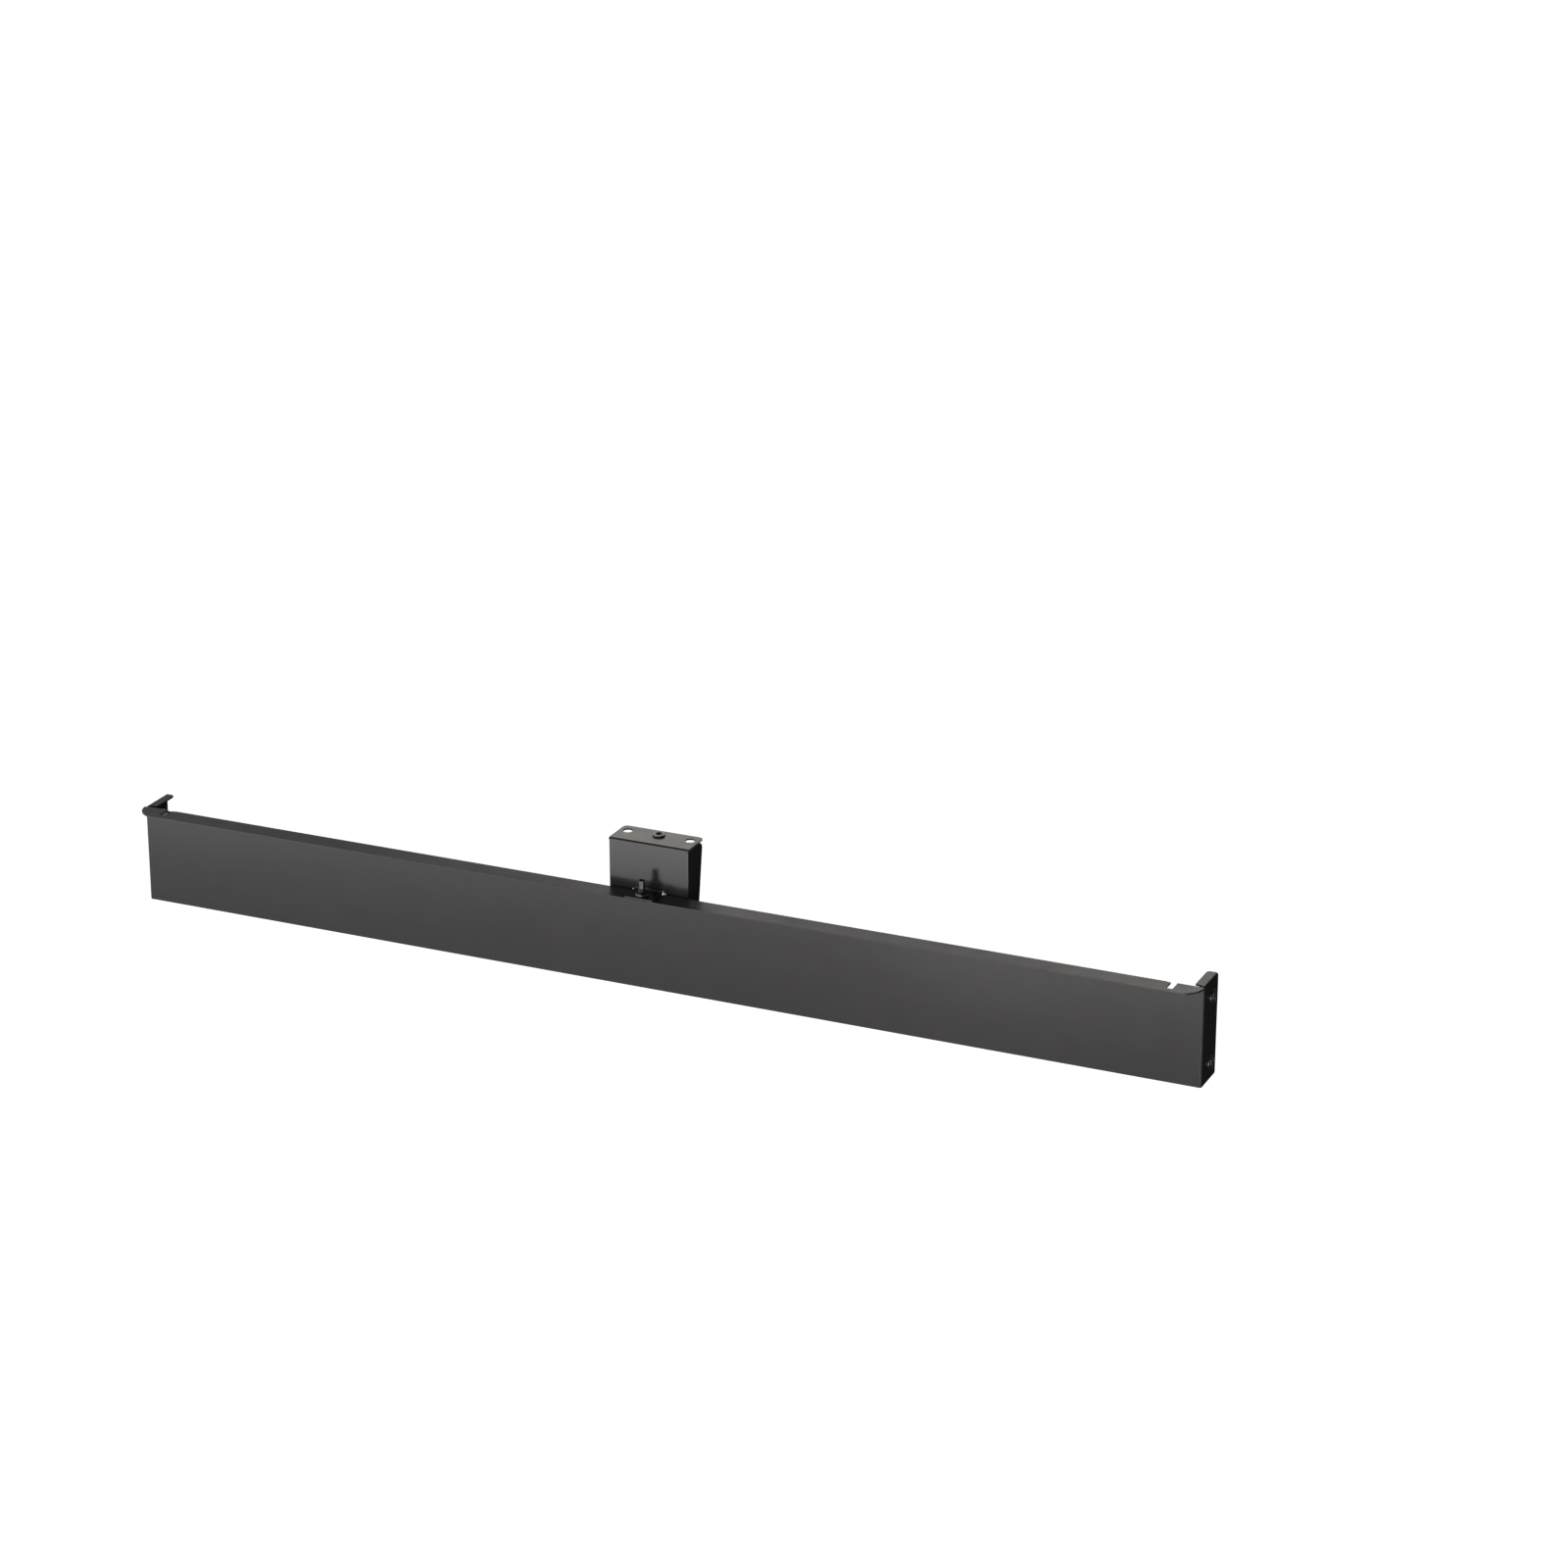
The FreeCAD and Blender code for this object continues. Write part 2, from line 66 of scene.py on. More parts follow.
# ---------------------------------------------------------------- material nodes
class Finish:
    """A material whose constants sit on its shader, with noise for what varies."""

    def __init__(self, name, colour, roughness, **constants):
        self.material = bpy.data.materials.new(name)
        self.material.use_nodes = True
        self.tree = self.material.node_tree
        self.shader = self.tree.nodes["Principled BSDF"]
        self.set("Base Color", (*colour, 1.0))
        self.set("Roughness", roughness)
        for socket, value in constants.items():
            self.set(socket.replace("_", " "), value)
        self.place = self.tree.nodes.new("ShaderNodeTexCoord").outputs["Object"]
        self.normal = None

    def set(self, socket, value):
        self.shader.inputs[socket].default_value = value

    def noise(self, size, detail=3.0, stretch=(1, 1, 1)):
        """Noise whose features are about size metres across, longer along a stretched axis."""
        mapping = self.tree.nodes.new("ShaderNodeMapping")
        mapping.inputs["Scale"].default_value = [1 / (size * s) for s in stretch]
        texture = self.tree.nodes.new("ShaderNodeTexNoise")
        texture.inputs["Scale"].default_value = 1.0
        texture.inputs["Detail"].default_value = detail
        self.tree.links.new(self.place, mapping.inputs["Vector"])
        self.tree.links.new(mapping.outputs["Vector"], texture.inputs["Vector"])
        return texture.outputs["Fac"]

    def cells(self, size):
        mapping = self.tree.nodes.new("ShaderNodeMapping")
        mapping.inputs["Scale"].default_value = [1 / size] * 3
        texture = self.tree.nodes.new("ShaderNodeTexVoronoi")
        texture.inputs["Scale"].default_value = 1.0
        self.tree.links.new(self.place, mapping.inputs["Vector"])
        self.tree.links.new(mapping.outputs["Vector"], texture.inputs["Vector"])
        return texture.outputs["Distance"]

    def roughness(self, source, low, high):
        spread = self.tree.nodes.new("ShaderNodeMapRange")
        spread.inputs["From Min"].default_value = 0.3
        spread.inputs["From Max"].default_value = 0.7
        spread.inputs["To Min"].default_value = low
        spread.inputs["To Max"].default_value = high
        self.tree.links.new(source, spread.inputs["Value"])
        self.tree.links.new(spread.outputs["Result"], self.shader.inputs["Roughness"])
        return self

    def colours(self, source, first, second):
        ramp = self.tree.nodes.new("ShaderNodeValToRGB")
        ramp.color_ramp.elements[0].position = 0.3
        ramp.color_ramp.elements[1].position = 0.7
        ramp.color_ramp.elements[0].color = (*first, 1.0)
        ramp.color_ramp.elements[1].color = (*second, 1.0)
        self.tree.links.new(source, ramp.inputs["Fac"])
        self.tree.links.new(ramp.outputs["Color"], self.shader.inputs["Base Color"])
        return self

    def relief(self, source, height, strength=1.0):
        """Bump of that height in metres, laid over any relief already there."""
        bump = self.tree.nodes.new("ShaderNodeBump")
        bump.inputs["Strength"].default_value = strength
        bump.inputs["Distance"].default_value = height
        self.tree.links.new(source, bump.inputs["Height"])
        if self.normal:
            self.tree.links.new(self.normal, bump.inputs["Normal"])
        self.normal = bump.outputs["Normal"]
        self.tree.links.new(self.normal, self.shader.inputs["Normal"])
        return self


def powder_coat(name, grey, roughness, gloss):
    f = Finish(name, (grey * 1.07, grey * 0.97, grey * 0.98), roughness, Specular_IOR_Level=gloss)
    f.colours(
        f.noise(60 * MM), (grey * 1.12, grey * 1.02, grey * 1.03), (grey * 1.02, grey * 0.92, grey * 0.94))
    f.roughness(f.noise(18 * MM, 4.0), roughness - 0.03, roughness + 0.03)
    f.relief(f.noise(1.3 * MM, 1.0), 0.0025 * MM)
    return f.relief(f.noise(0.22 * MM, 2.0), 0.0012 * MM).material


def black_zinc():
    f = Finish("black_zinc", (0.2, 0.2, 0.205), 0.3, Metallic=0.9)
    f.colours(f.noise(2.5 * MM), (0.22, 0.22, 0.226), (0.17, 0.17, 0.175))
    f.roughness(f.noise(0.8 * MM, 4.0), 0.24, 0.38)
    return f.relief(f.noise(0.12 * MM), 0.002 * MM).material


def black_oxide(name, grey):
    light, dark = grey * 1.1, grey * 0.84
    f = Finish(name, (grey, grey * 0.97, grey * 0.95), 0.36, Metallic=0.9)
    f.colours(f.noise(1.8 * MM), (light, light * 0.97, light * 0.94), (dark, dark * 0.97, dark * 0.97))
    f.roughness(f.noise(0.6 * MM, 4.0), 0.26, 0.42)
    return f.relief(f.noise(0.1 * MM), 0.002 * MM).material


def foam():
    f = Finish("foam_tape", (0.55, 0.55, 0.53), 0.9)
    f.colours(f.noise(6 * MM), (0.58, 0.58, 0.56), (0.5, 0.5, 0.48))
    f.roughness(f.noise(2 * MM), 0.82, 0.95)
    return f.relief(f.cells(0.35 * MM), 0.09 * MM, 0.8).material


def anodised():
    f = Finish("anodised_aluminium", (0.62, 0.62, 0.63), 0.36, Metallic=1.0)
    f.colours(f.noise(35 * MM), (0.64, 0.64, 0.65), (0.58, 0.58, 0.595))
    f.roughness(f.noise(0.25 * MM, 3.0, (160, 1, 1)), 0.3, 0.42)
    f.relief(f.noise(0.18 * MM, 2.0, (220, 1, 1)), 0.004 * MM)
    return f.relief(f.noise(0.08 * MM), 0.001 * MM).material


def solder_mask():
    f = Finish("white_solder_mask", (0.8, 0.8, 0.76), 0.42)
    f.colours(f.noise(9 * MM), (0.82, 0.82, 0.78), (0.77, 0.77, 0.725))
    f.roughness(f.noise(1.2 * MM, 4.0), 0.34, 0.5)
    return f.relief(f.noise(0.3 * MM), 0.004 * MM).material


def led_cup():
    f = Finish("led_cup", (0.84, 0.84, 0.82), 0.38)
    f.colours(f.noise(1.5 * MM), (0.86, 0.86, 0.84), (0.8, 0.8, 0.775))
    f.roughness(f.noise(0.5 * MM), 0.32, 0.46)
    return f.relief(f.noise(0.12 * MM), 0.003 * MM).material


def phosphor():
    f = Finish("phosphor_gel", (0.87, 0.66, 0.13), 0.16, Subsurface_Weight=0.25)
    f.set("Subsurface Radius", (0.0008, 0.0006, 0.0002))
    f.colours(f.noise(0.5 * MM, 5.0), (0.9, 0.7, 0.16), (0.82, 0.59, 0.09))
    f.roughness(f.noise(0.9 * MM), 0.12, 0.22)
    return f.relief(f.noise(1.1 * MM), 0.03 * MM).material


def resistor_glaze():
    f = Finish("resistor_glaze", (0.03, 0.03, 0.03), 0.3)
    f.colours(f.noise(0.6 * MM), (0.035, 0.034, 0.033), (0.024, 0.024, 0.025))
    f.roughness(f.noise(0.3 * MM), 0.24, 0.4)
    return f.relief(f.noise(0.15 * MM), 0.004 * MM).material


def tinned():
    f = Finish("tinned_metal", (0.72, 0.7, 0.67), 0.26, Metallic=1.0)
    f.colours(f.noise(0.9 * MM), (0.75, 0.73, 0.7), (0.64, 0.62, 0.59))
    f.roughness(f.noise(0.4 * MM, 4.0), 0.18, 0.38)
    return f.relief(f.noise(0.25 * MM), 0.008 * MM).material


def opal():
    f = Finish("opal_cover", (0.86, 0.87, 0.86), 0.48, Subsurface_Weight=0.35, Transmission_Weight=0.12)
    f.set("Subsurface Radius", (0.002, 0.002, 0.002))
    f.colours(f.noise(40 * MM), (0.87, 0.88, 0.87), (0.84, 0.85, 0.845))
    f.roughness(f.noise(0.5 * MM, 4.0), 0.42, 0.56)
    return f.relief(f.noise(0.16 * MM, 3.0, (6, 1, 1)), 0.004 * MM).material


def moulded(name, colour, dark):
    f = Finish(name, colour, 0.5)
    f.colours(f.noise(5 * MM), colour, dark)
    f.roughness(f.noise(0.6 * MM, 4.0), 0.42, 0.6)
    return f.relief(f.noise(0.14 * MM, 4.0), 0.01 * MM).material


def printed_mark():
    f = Finish("printed_mark", (0.05, 0.05, 0.05), 0.6)
    f.colours(f.noise(0.4 * MM), (0.06, 0.06, 0.06), (0.04, 0.04, 0.04))
    return f.relief(f.noise(0.1 * MM), 0.002 * MM).material


COAT = powder_coat("black_powder_coat", 0.02, 0.33, 0.5)
BRACKET_COAT = powder_coat("bracket_powder_coat", 0.014, 0.2, 0.62)
ZINC = black_zinc()
OXIDE = black_oxide("black_oxide", 0.09)
NUT_OXIDE = black_oxide("black_oxide_nut", 0.045)
FOAM = foam()
ALUMINIUM = anodised()
MASK = solder_mask()
CUP = led_cup()
PHOSPHOR = phosphor()
GLAZE = resistor_glaze()
TIN = tinned()
OPAL = opal()
GREY = moulded("grey_cap", (0.3, 0.3, 0.31), (0.26, 0.26, 0.27))
BLACK = moulded("black_jack", (0.032, 0.032, 0.033), (0.024, 0.024, 0.025))
MARK = printed_mark()


# ---------------------------------------------------------------- mesh helpers
def add_piece(name, mesh, body, finishes, nodes=()):
    """Links a mesh as a piece that rides on a body, stands for nodes and takes a slot's finish."""
    piece = bpy.data.objects.new(name, mesh)
    bpy.context.scene.collection.objects.link(piece)
    mesh.materials.clear()
    for finish in finishes:
        mesh.materials.append(finish)
    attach(piece, body)
    if nodes:
        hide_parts(*nodes)
    return piece


def finished_mesh(work, name, smooth=True):
    bmesh.ops.recalc_face_normals(work, faces=work.faces)
    mesh = bpy.data.meshes.new(name)
    work.to_mesh(mesh)
    work.free()
    if smooth:
        mesh.shade_smooth()
    return mesh


def weigh_normals(piece):
    """Keeps the flats flat and shades only the rounded edges."""
    weighted = piece.modifiers.new("flat_faces", "WEIGHTED_NORMAL")
    weighted.mode = "FACE_AREA"
    weighted.weight = 100


def round_edges(work, width, segments, least_angle=30):
    sharp = [e for e in work.edges
             if e.is_manifold and e.calc_face_angle() > math.radians(least_angle)]
    bmesh.ops.bevel(
        work, geom=sharp, offset=width, segments=segments, profile=0.5,
        affect="EDGES", clamp_overlap=False)


def softened(name, node, body, finish, width, segments=2):
    """A CAD node's own shape with every sharp edge rounded a little.

    Where edges meet at a sliver of a face, the rounding throws a point far off the part. Such a
    point is put back on the nearest surface.
    """
    work = bmesh.new()
    work.from_mesh(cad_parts[node].data)
    bmesh.ops.remove_doubles(work, verts=work.verts, dist=0.001 * MM)
    bmesh.ops.dissolve_limit(
        work, angle_limit=math.radians(0.4), verts=work.verts, edges=work.edges)
    surface = BVHTree.FromBMesh(work)
    round_edges(work, width, segments)
    for point in work.verts:
        nearest, _, _, gap = surface.find_nearest(point.co)
        if gap > width:
            point.co = nearest
    weigh_normals(add_piece(name, finished_mesh(work, name), body, [finish], [node]))


def ring(radius, height):
    """One ring of points; radius and height are numbers or functions of the angle."""
    points = []
    for i in range(STEPS):
        angle = 2 * math.pi * i / STEPS
        r = radius(angle) if callable(radius) else radius
        h = height(angle) if callable(height) else height
        points.append(Vector((r * math.sin(angle), -r * math.cos(angle), h)))
    return points


def hexagon(across_flats):
    """The radius of a hexagon with a corner at angle 0, as a function of the angle."""
    side = math.pi / 3
    return lambda angle: across_flats / 2 / math.cos(angle % side - side / 2)


def stack(work, rings, place, closed=False, start=None, end=None):
    """Joins rings in order; a closed stack joins its ends, and start and end are pole heights."""
    loops = [[work.verts.new(place @ p) for p in points] for points in rings]
    pairs = list(zip(loops, loops[1:]))
    if closed:
        pairs.append((loops[-1], loops[0]))
    for low, high in pairs:
        for i in range(len(low)):
            j = (i + 1) % len(low)
            work.faces.new((low[i], low[j], high[j], high[i]))
    for loop, height in ((loops[0], start), (loops[-1], end)):
        if height is not None:
            pole = work.verts.new(place @ Vector((0, 0, height)))
            for i in range(len(loop)):
                j = (i + 1) % len(loop)
                work.faces.new((loop[i], loop[j], pole))


def thread_rings(root_r, crest_r, low, high, chamfer=0.0, flare=0.0):
    """A thread's surface from low to high: its ends taper in by chamfer, or open by flare."""
    crest, flank = 0.14, 0.36
    count = max(2, round((high - low) / PITCH * ROWS_PER_PITCH))

    def at(height):
        def radius(angle):
            turn = abs((height / PITCH - angle / (2 * math.pi)) % 1 - 0.5)
            share = min(1, max(0, (crest / 2 + flank - turn) / flank))
            r = root_r + (crest_r - root_r) * share
            edge = min(height - low, high - height)
            if chamfer:
                r = min(r, crest_r - chamfer + edge)
            if flare:
                r = max(r, root_r + flare - edge)
            return r
        return radius

    heights = [low + (high - low) * i / count for i in range(count + 1)]
    return [ring(at(h), h) for h in heights]


def arc_points(centre, radius, first_deg, last_deg, count=6):
    """Points on an arc, as (x, y) pairs."""
    points = []
    for i in range(count + 1):
        angle = math.radians(first_deg + (last_deg - first_deg) * i / count)
        points.append((centre[0] + radius * math.cos(angle), centre[1] + radius * math.sin(angle)))
    return points


def aimed(point, axis):
    """A placement whose local +Z runs along axis from point."""
    return Matrix.Translation(point) @ Vector((0, 0, 1)).rotation_difference(axis).to_matrix().to_4x4()


def rounded_outline(corners, radius, count=4):
    """An outline with every corner rounded by an arc; corners are (a, b) pairs in order."""
    points = []
    total = len(corners)
    for i, corner in enumerate(corners):
        here = Vector(corner)
        before = (Vector(corners[i - 1]) - here).normalized()
        after = (Vector(corners[(i + 1) % total]) - here).normalized()
        half = before.angle(after) / 2
        reach = radius / math.tan(half)
        centre = here + (before + after).normalized() * (radius / math.sin(half))
        start = here + before * reach - centre
        swing = (here + after * reach - centre).angle_signed(start)
        for k in range(count + 1):
            turn = Matrix.Rotation(swing * k / count, 2)
            points.append(tuple(centre + turn @ start))
    return points


def extruded(work, outline, x0, x1):
    """A closed (y, z) outline pushed along X, closed at both ends."""
    loops = [[work.verts.new((x, y, z)) for y, z in outline] for x in (x0, x1)]
    count = len(outline)
    for i in range(count):
        j = (i + 1) % count
        work.faces.new((loops[0][i], loops[0][j], loops[1][j], loops[1][i]))
    for loop in loops:
        work.faces.new(loop)


def centre_of(node):
    low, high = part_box(node)
    return (low + high) / 2


# ---------------------------------------------------------------- folded steel
softened("fascia_panel", "fascia", "batten", COAT, SHEET_EDGE)
softened(
    "bracket_panel", "hanging_bracket", "batten", BRACKET_COAT, SHEET_EDGE)


# ---------------------------------------------------------------- M6 hardware
def set_screw():
    """The set screw: a cup point, the thread, and a plain upper end with a hexagon socket."""
    low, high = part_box("set_screw")
    length = high.z - low.z
    neck_length = 6.5 * MM
    neck_r = 2.5 * MM
    shoulder = length - neck_length
    bevel = 0.3 * MM
    cup_rim_r = 1.7 * MM
    cup_depth = 0.75 * MM
    socket = hexagon(3.0 * MM)
    socket_mouth_r = 1.9 * MM
    socket_depth = 4.0 * MM
    socket_floor = length - socket_depth
    rings = [ring(1.1 * MM, 0.35 * MM), ring(cup_rim_r, 0.0)]
    rings += thread_rings(M6_ROOT_R, M6_R, 0.0, shoulder, chamfer=THREAD_CHAMFER)
    rings += [
        ring(neck_r, shoulder + 0.1 * MM),
        ring(neck_r, length - bevel),
        ring(neck_r - bevel, length),
        ring(socket_mouth_r, length),
        ring(socket, length - 0.2 * MM),
        ring(socket, socket_floor),
        ring(1.3 * MM, socket_floor - 0.1 * MM),
    ]
    work = bmesh.new()
    place = Matrix.Translation((centre_of("set_screw").x, centre_of("set_screw").y, low.z))
    stack(work, rings, place, start=cup_depth, end=socket_floor - 0.8 * MM)
    mesh = finished_mesh(work, "set_screw_threaded")
    mesh.set_sharp_from_angle(angle=math.radians(38))
    add_piece("set_screw_threaded", mesh, "screw", [OXIDE], ["set_screw"])


def lock_nut():
    """The thin hexagon nut, its corners chamfered above and below."""
    low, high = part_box("lock_nut")
    height = high.z - low.z
    across = 10.0 * MM
    face_r = 4.75 * MM
    top_r = 4.4 * MM
    side = hexagon(across)
    slope = math.tan(math.radians(30))
    top_slope = math.tan(math.radians(40))
    turned_by = math.radians(24.0)
    mouth = 0.35 * MM
    rings = [
        ring(RUNNING_R, mouth),
        ring(RUNNING_R + mouth, 0.0),
        ring(face_r, 0.0),
        ring(side, lambda a: (side(a) - face_r) * slope),
        ring(side, lambda a: height - (side(a) - top_r) * top_slope),
        ring(top_r, height),
        ring(RUNNING_R + mouth, height),
        ring(RUNNING_R, height - mouth),
    ]
    work = bmesh.new()
    centre = centre_of("lock_nut")
    turn = Matrix.Rotation(turned_by, 4, "Z")
    stack(work, rings, Matrix.Translation((centre.x, centre.y, low.z)) @ turn, closed=True)
    round_edges(work, 0.12 * MM, 2)
    weigh_normals(add_piece(
        "lock_nut_hexagon", finished_mesh(work, "lock_nut_hexagon"),
        "batten", [NUT_OXIDE], ["lock_nut"]))


def clinch_nut():
    """The clinch nut under the ledge: a round body with a fine knurl where it grips the sheet."""
    low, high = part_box("ledge_clinch_nut")
    centre = centre_of("ledge_clinch_nut")
    body_r = (high.x - low.x) / 2
    shoulder = high.z - low.z - FASCIA_SHEET
    neck_r = 4.35 * MM
    knurls = 36

    def knurled(angle):
        return body_r - 0.12 * MM * (0.5 + 0.5 * math.cos(knurls * angle))

    rings = [
        ring(RUNNING_R, 0.4 * MM),
        ring(RUNNING_R + 0.4 * MM, 0.0),
        ring(body_r - 0.5 * MM, 0.0),
        ring(body_r - 0.15 * MM, 0.1 * MM),
        ring(body_r, 0.35 * MM),
        ring(body_r, shoulder - 0.8 * MM),
        ring(knurled, shoulder - 0.7 * MM),
        ring(knurled, shoulder),
        ring(neck_r, shoulder),
        ring(neck_r, high.z - low.z),
        ring(RUNNING_R, high.z - low.z),
    ]
    work = bmesh.new()
    stack(work, rings, Matrix.Translation((centre.x, centre.y, low.z)), closed=True)
    mesh = finished_mesh(work, "clinch_nut_body")
    mesh.set_sharp_from_angle(angle=math.radians(32))
    add_piece(
        "clinch_nut_body", mesh, "batten", [NUT_OXIDE], ["ledge_clinch_nut"])


def rivet_nut(name, seat, outward, sheet, flange_r, flange_thick, body_r, dish, nodes):
    """A set blind rivet nut: rounded flange dished by that depth, swollen sleeve, threaded bore."""
    face = flange_thick - dish
    sleeve = 13.0 * MM
    tail = -(sheet + sleeve)
    bulge_r = body_r + 1.2 * MM
    bulge_half = 1.5 * MM
    rim = 0.25 * MM
    ribs = 24

    def ribbed(angle):
        return body_r - 0.1 * MM * (0.5 + 0.5 * math.cos(ribs * angle))

    rings = list(reversed(thread_rings(M6_R - 0.05 * MM, M6_CORE_R, tail, face)))
    mouth_r = M6_CORE_R + 0.5 * MM
    rings[0] = ring(mouth_r + 0.1 * MM, face)
    rings[-1] = ring(mouth_r, tail)
    rings += [
        ring(body_r - 0.4 * MM, tail),
        ring(body_r, tail + 0.4 * MM),
        ring(ribbed, tail + 0.7 * MM),
        ring(ribbed, -(sheet + 3.4 * MM)),
        ring(body_r, -(sheet + 3.1 * MM)),
    ]
    for dr, dz in arc_points((0, 0), 1, -90, 90, 10):
        if -0.99 < dz < 0.99:
            height = -(sheet + bulge_half) + bulge_half * dz
            rings.append(ring(body_r + (bulge_r - body_r) * dr, height))
    rings += [ring(body_r, -sheet), ring(body_r, 0.0), ring(flange_r - rim, 0.0)]
    for dr, dz in arc_points((0, 0), 1, -80, 80, 6):
        reach = flange_thick / 2
        rings.append(ring(flange_r - rim + rim * dr, reach + reach * dz))
    rings.append(ring(flange_r - rim - 0.1 * MM, flange_thick))
    rings.append(ring(flange_r - rim - 0.2 * MM - 1.2 * dish, face))
    rings.append(ring(mouth_r + 0.35 * MM, face))
    work = bmesh.new()
    stack(work, rings, aimed(seat, outward), closed=True)
    mesh = finished_mesh(work, name)
    mesh.set_sharp_from_angle(angle=math.radians(40))
    add_piece(name, mesh, "batten", [ZINC], nodes)


def rivet_nuts():
    rivet_nut(
        "hanging_rivet_nut", Vector((0, 0, 0)), Vector((0, 0, 1)), BRACKET_SHEET,
        flange_r=4.95 * MM, flange_thick=1.5 * MM, body_r=4.0 * MM, dish=0.0,
        nodes=["hanging_insert"])
    fascia_low, fascia_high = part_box("fascia")
    for side, word in ((-1, "left"), (1, "right")):
        node = f"end_inserts_{word}"
        low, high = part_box(node)
        flange_r = 5.75 * MM
        for level, z in (("lower", low.z + flange_r), ("upper", high.z - flange_r)):
            x = fascia_high.x if side > 0 else fascia_low.x
            rivet_nut(
                f"end_rivet_nut_{word}_{level}", Vector((x, (low.y + high.y) / 2, z)),
                Vector((side, 0, 0)), FASCIA_SHEET,
                flange_r=flange_r, flange_thick=1.2 * MM, body_r=4.5 * MM, dish=0.7 * MM,
                nodes=[node])


set_screw()
lock_nut()
clinch_nut()
rivet_nuts()


# ---------------------------------------------------------------- LED channel
def mounting_tape():
    """Foam tape, squeezed so that its sides bulge."""
    low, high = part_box("mounting_tape")
    middle = (low.y + high.y) / 2
    half = (high.y - low.y) / 2
    outline = []
    for z, first in ((high.z - half, 0), (low.z + half, 180)):
        for dy, dz in arc_points((0, 0), half * 1.12, first + 5, first + 175, 8):
            y = min(half, max(-half, dy))
            outline.append((middle + y, z + dz))
    work = bmesh.new()
    extruded(work, outline, low.x, high.x)
    mesh = finished_mesh(work, "foam_tape_strip")
    mesh.set_sharp_from_angle(angle=math.radians(45))
    add_piece("foam_tape_strip", mesh, "batten", [FOAM], ["mounting_tape"])


def led_channel():
    """The extruded channel: a U section with fine grooves along its outside walls and one groove inside
    each wall near the mouth.
    """
    low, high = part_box("led_channel")
    wall = 1.2 * MM
    groove = 0.25 * MM
    back, mouth = low.y, high.y

    def side(z_out, inward):
        """One wall's points from the back's outside corner to the inside corner."""
        z_in = z_out + inward * wall
        points = [(back, z_out)]
        for k in range(3):
            y = back + (2.2 + 1.6 * k) * MM
            points += [
                (y, z_out),
                (y + groove, z_out + inward * groove),
                (y + 2 * groove, z_out),
            ]
        points += [
            (mouth, z_out),
            (mouth, z_in),
            (mouth - 2.7 * MM, z_in),
            (mouth - 2.9 * MM, z_in - inward * 0.2 * MM),
            (mouth - 3.6 * MM, z_in - inward * 0.2 * MM),
            (mouth - 3.8 * MM, z_in),
            (back + wall, z_in),
        ]
        return points

    outline = side(low.z, 1) + list(reversed(side(high.z, -1)))
    work = bmesh.new()
    extruded(work, rounded_outline(outline, 0.06 * MM, 2), low.x, high.x)
    mesh = finished_mesh(work, "channel_extrusion")
    mesh.set_sharp_from_angle(angle=math.radians(50))
    add_piece(
        "channel_extrusion", mesh, "batten", [ALUMINIUM], ["led_channel"])


def diffuser():
    """The opal cover: a crowned face with rounded long edges, and two plain legs."""
    low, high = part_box("diffuser")
    face = 1.0 * MM
    leg = 1.0 * MM
    inset = 1.3 * MM
    mouth = high.y - face
    crown = 0.12 * MM
    outline = [(mouth, low.z), (high.y - crown, low.z)]
    count = 10
    for i in range(1, count):
        share = i / count
        z = low.z + (high.z - low.z) * share
        outline.append((high.y - crown * (2 * share - 1) ** 2, z))
    outline += [(high.y - crown, high.z), (mouth, high.z)]
    for z, inward in ((high.z, -1), (low.z, 1)):
        outer = z + inward * inset
        leg_points = [
            (mouth, outer),
            (low.y, outer),
            (low.y, outer + inward * leg),
            (mouth, outer + inward * leg),
        ]
        outline += leg_points if inward < 0 else list(reversed(leg_points))
    work = bmesh.new()
    extruded(work, rounded_outline(outline, 0.15 * MM, 3), low.x, high.x)
    mesh = finished_mesh(work, "opal_cover")
    mesh.set_sharp_from_angle(angle=math.radians(50))
    add_piece("opal_cover", mesh, "batten", [OPAL], ["diffuser"])


def square(half, corner):
    """The radius of a square with rounded corners, as a function of the angle."""
    def radius(angle):
        c, s = abs(math.cos(angle)), abs(math.sin(angle))
        flat = half / max(c, s)
        inner = half - corner
        if flat * min(c, s) <= inner:
            return flat
        along = inner * (c + s)
        return along + math.sqrt(max(0.0, along * along - 2 * inner * inner + corner * corner))
    return radius


def plate(work, centre, half_x, half_z, y0, y1):
    """A thin rectangular plate with chamfered outer edges, standing on the board's face."""
    rim = min(half_x, half_z, y1 - y0) * 0.3
    corners = ((-1, -1), (1, -1), (1, 1), (-1, 1))
    loops = []
    for y, cut in ((y0, 0), (y1 - rim, 0), (y1, rim)):
        loops.append([
            work.verts.new((centre.x + sx * (half_x - cut), y, centre.z + sz * (half_z - cut)))
            for sx, sz in corners])
    for low, high in zip(loops, loops[1:]):
        for i in range(4):
            j = (i + 1) % 4
            work.faces.new((low[i], low[j], high[j], high[i]))
    for loop in (loops[0], loops[-1]):
        work.faces.new(loop)


CUT_UNIT = 50 * MM
UNITS = 15
LEDS_PER_UNIT = 3
LEDS = UNITS * LEDS_PER_UNIT


def strip_x(share):
    """A place along the strip, in cut units from its left end."""
    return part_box("led_board")[0].x + CUT_UNIT * share


